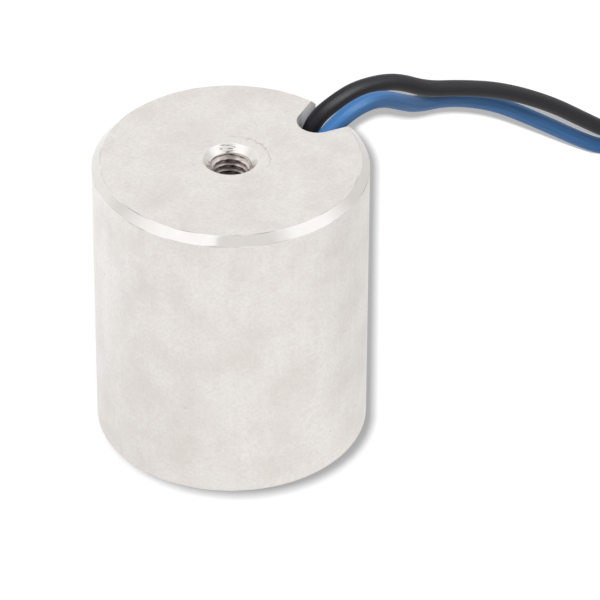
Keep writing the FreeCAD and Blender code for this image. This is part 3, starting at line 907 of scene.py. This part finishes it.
# %% Paper of the floor
camera_glow, mirrored_white = 0.35, 0.97
near_mm, far_mm = 14.0, 36.0
paper_to_mm, white_from_mm = 150.0, 300.0
paper_plain = {
    "Base Color": linear("#F9F9F9"),
    "Roughness": 1.0,
    "Specular IOR Level": 0.0,
    "Emission Color": white,
}
paper, paper_tree, paper_shader, paper_place = start_finish("white_paper", paper_plain)
seen = any_of(paper_tree, ["Is Camera Ray"])
glow = add_node(paper_tree, "Math", {0: seen, 1: camera_glow}, operation="MULTIPLY")
paper_tree.links.new(glow, paper_shader.inputs["Emission Strength"])
mirrored = any_of(paper_tree, mirrored_kinds)
distance = add_node(paper_tree, "VectorMath", {0: paper_place}, operation="LENGTH", output="Value")
level = mirrored_white
for heading, near, far in (
    (right_heading, -0.11, -0.11),
    (left_heading, -0.055, 0.0),
    (back_heading, 0.06, 0.15),
):
    side = towards_side(paper_tree, paper_place, heading, *floor_turn)
    lift = {"Value": distance, "From Min": near_mm, "From Max": far_mm, "To Min": near, "To Max": far}
    lift = add_node(paper_tree, "MapRange", lift)
    level = add_node(paper_tree, "Math", {0: side, 1: lift, 2: level}, operation="MULTIPLY_ADD")
# The last side is the back, which is also a little bluer.
tint = {"Factor": side, "A": white, "B": linear("#FAFCFF")}
tint = add_node(paper_tree, "Mix", tint, data_type="RGBA")
room_white = add_node(paper_tree, "Emission", {"Color": tint, "Strength": level})
surface = add_node(paper_tree, "MixShader", {0: mirrored, 1: paper_shader.outputs[0], 2: room_white})
away = {"Value": distance, "From Min": paper_to_mm, "From Max": white_from_mm}
away = add_node(paper_tree, "MapRange", away)
away = add_node(paper_tree, "Math", {0: away, 1: seen}, operation="MULTIPLY")
far_white = add_node(paper_tree, "Emission", {"Color": white, "Strength": 1.0})
surface = add_node(paper_tree, "MixShader", {0: away, 1: surface, 2: far_white})
paper_tree.links.new(surface, paper_tree.nodes["Material Output"].inputs["Surface"])
paper.cycles.emission_sampling = "NONE"
floor_mesh.materials.append(paper)
print("floor nodes", len(paper_tree.nodes))

# %% [markdown]
# ## Room and lamps
#
# Plated metal shows the room more than the lamps. A photograph of a studio could be wrapped round the
# world, but the room is plain, so a smooth step towards a side is enough. Mirrored rays see the same
# white room as on the floor, the camera sees white, and only a low light reaches the rest from it.

# %% Room
room_light, room_white_level = 0.12, 0.95
world = bpy.data.worlds.new("white_room")
world.use_nodes = True
room = world.node_tree
seen = any_of(room, ["Is Camera Ray"])
mirrored = any_of(room, mirrored_kinds)
room_direction = add_node(room, "TexCoord", output="Generated")
level = room_white_level
for heading, lift in ((right_heading, -0.06), (back_heading, 0.04)):
    side = towards_side(room, room_direction, heading, *room_turn)
    level = add_node(room, "Math", {0: side, 1: lift, 2: level}, operation="MULTIPLY_ADD")
level = add_node(room, "Math", {0: mirrored, 1: level}, operation="MULTIPLY")
level = add_node(room, "Math", {0: level, 1: seen}, operation="MAXIMUM")
level = add_node(room, "Math", {0: level, 1: room_light}, operation="MAXIMUM")
background = room.nodes["Background"]
background.inputs["Color"].default_value = white
room.links.new(level, background.inputs["Strength"])
world.cycles.sampling_method = "NONE"
scene.world = world
print("room light", room_light)

# %% [markdown]
# Light linking says which lamp reaches what, so the shadow and the object can be lit apart. The key is
# a small far lamp beside the camera, and it reaches the floor alone. Two others reach all the rest, a
# main lamp from the left and a fill from behind. Metal shows none of these. It mirrors three light
# cards that fade across their width, and only mirrored rays see them. One more lamp puts a dull sheen
# on the leads. The metal doesn't throw light back on the floor, which would wash the shadow out.

# %% Lamp helpers
def add_lamp(name, heading, height, distance, size, power):
    """Area lamp at a heading and height in degrees about the origin, turned to face it."""
    data = bpy.data.lights.new(name, "AREA")
    data.shape = "RECTANGLE"
    data.size, data.size_y = size
    data.energy = power
    lamp = bpy.data.objects.new(name, data)
    towards = direction(heading, height)
    lamp.location = towards * distance
    lamp.rotation_euler = towards.to_track_quat("Z", "Y").to_euler()
    scene.collection.objects.link(lamp)
    return lamp


def add_card(name, heading, height, size, gain, rise, fall):
    """Light card a metre away: light rises over a first share of its width and falls over a last one."""
    away, cool_light = 1.0, (0.83, 0.90, 1.0)
    card = add_lamp(name, heading, height, away, size, gain * math.pi * size[0] * size[1])
    card.data.color = cool_light
    card.data.use_nodes = True
    tree = card.data.node_tree
    across = add_node(tree, "NewGeometry", output="Parametric")
    across = add_node(tree, "SeparateXYZ", {0: across}, output="X")
    up = add_node(tree, "MapRange", {"Value": across, "From Max": rise})
    down = add_node(tree, "MapRange", {"Value": across, "From Min": 1.0, "From Max": 1.0 - fall})
    level = add_node(tree, "Math", {0: up, 1: down}, operation="MULTIPLY")
    tree.links.new(level, tree.nodes["Emission"].inputs["Strength"])
    return card


def linked(name, pieces, state="INCLUDE"):
    """Collection that tells a lamp which pieces it reaches, leaves out, or has in its way."""
    chosen = bpy.data.collections.new(name)
    for piece in pieces:
        chosen.objects.link(piece)
    for entry in chosen.collection_objects:
        entry.light_linking.link_state = state
    return chosen


# %% [markdown]
# The key's own shadow hides behind the cup, because the lamp is beside the camera. So a flag is in its
# light: a card whose shadow has the cup's outline as the lamp sees it, moved a little to the right and
# down. It shows as a narrow soft band at the right and at the foot. The card is level, so that all of
# it is equally far from the floor, and the band is as soft at the back as it is in front.

# %% Shadow flag
def make_flag(lamp, ahead_mm, right_mm, down_mm):
    """Level card whose shadow is the cup's outline from the lamp, moved to the right and down.

    From the lamp, the outline is a circle squashed by the sine of the lamp's height, and its halves
    lie apart by the cup's height times the cosine. The card is smaller by its share of the way to the
    lamp, and its points slide along the light until they are level.
    """
    flag_points = 96
    towards = lamp.location.normalized()
    size = 1 - ahead_mm * MM / lamp.location.length
    side = Vector((0, 0, 1)).cross(towards).normalized()
    above = towards.cross(side)
    angle = (np.arange(flag_points) + 0.5) / flag_points * 2 * math.pi
    across = body_radius * size * np.cos(angle) + right_mm
    lift = body_radius * size * towards.z * np.sin(angle) - down_mm
    lift += body_height / 2 * size * towards.xy.length * np.sign(np.sin(angle))
    ahead = ahead_mm - lift * towards.xy.length / towards.z
    points = np.array((0, 0, body_height / 2)) + np.outer(ahead, towards)
    points += np.outer(across, side) + np.outer(lift, above)
    mesh = bpy.data.meshes.new("shadow_flag")
    mesh.from_pydata((points * MM).tolist(), [], [range(flag_points)])
    flag = bpy.data.objects.new("shadow_flag", mesh)
    scene.collection.objects.link(flag)
    for kind in ("camera", "diffuse", "glossy", "transmission"):
        setattr(flag, "visible_" + kind, False)
    return flag


# %% Set up the lamps
scene.cycles.caustics_reflective = False
key = add_lamp("key", heading=231.0, height=35.6, distance=4.0, size=(0.052, 0.052), power=171.6)
flag = make_flag(key, ahead_mm=35.0, right_mm=0.53, down_mm=0.38)
main = add_lamp("main", heading=205.0, height=50.0, distance=2.0, size=(0.3, 0.3), power=33.0)
fill = add_lamp("fill", heading=40.0, height=45.0, distance=2.0, size=(0.8, 0.8), power=15.0)
sheen = add_lamp("sheen", heading=322.0, height=50.0, distance=1.5, size=(0.6, 1.5), power=60.0)
cards = [
    add_card("left_card", heading=166.0, height=48.0, size=(1.13, 0.9), gain=0.43, rise=0.535, fall=0.01),
    add_card("left_tail", heading=104.0, height=13.0, size=(0.78, 0.7), gain=0.12, rise=0.01, fall=0.35),
    add_card("right_card", heading=316.0, height=42.0, size=(1.03, 0.9), gain=0.43, rise=0.25, fall=0.46),
]

key.light_linking.receiver_collection = linked("floor_alone", [floor])
sheen.light_linking.receiver_collection = linked("leads_alone", lead_piece.values())
all_but_floor = linked("all_but_floor", [floor], "EXCLUDE")
all_but_flag = linked("all_but_flag", [flag], "EXCLUDE")
for lamp in (main, fill):
    lamp.light_linking.receiver_collection = all_but_floor
for lamp in (main, fill, sheen, *cards):
    lamp.light_linking.blocker_collection = all_but_flag
for lamp in (key, main, fill):
    lamp.visible_glossy = False
for lamp in (sheen, *cards):
    lamp.visible_diffuse = False
    lamp.visible_camera = False
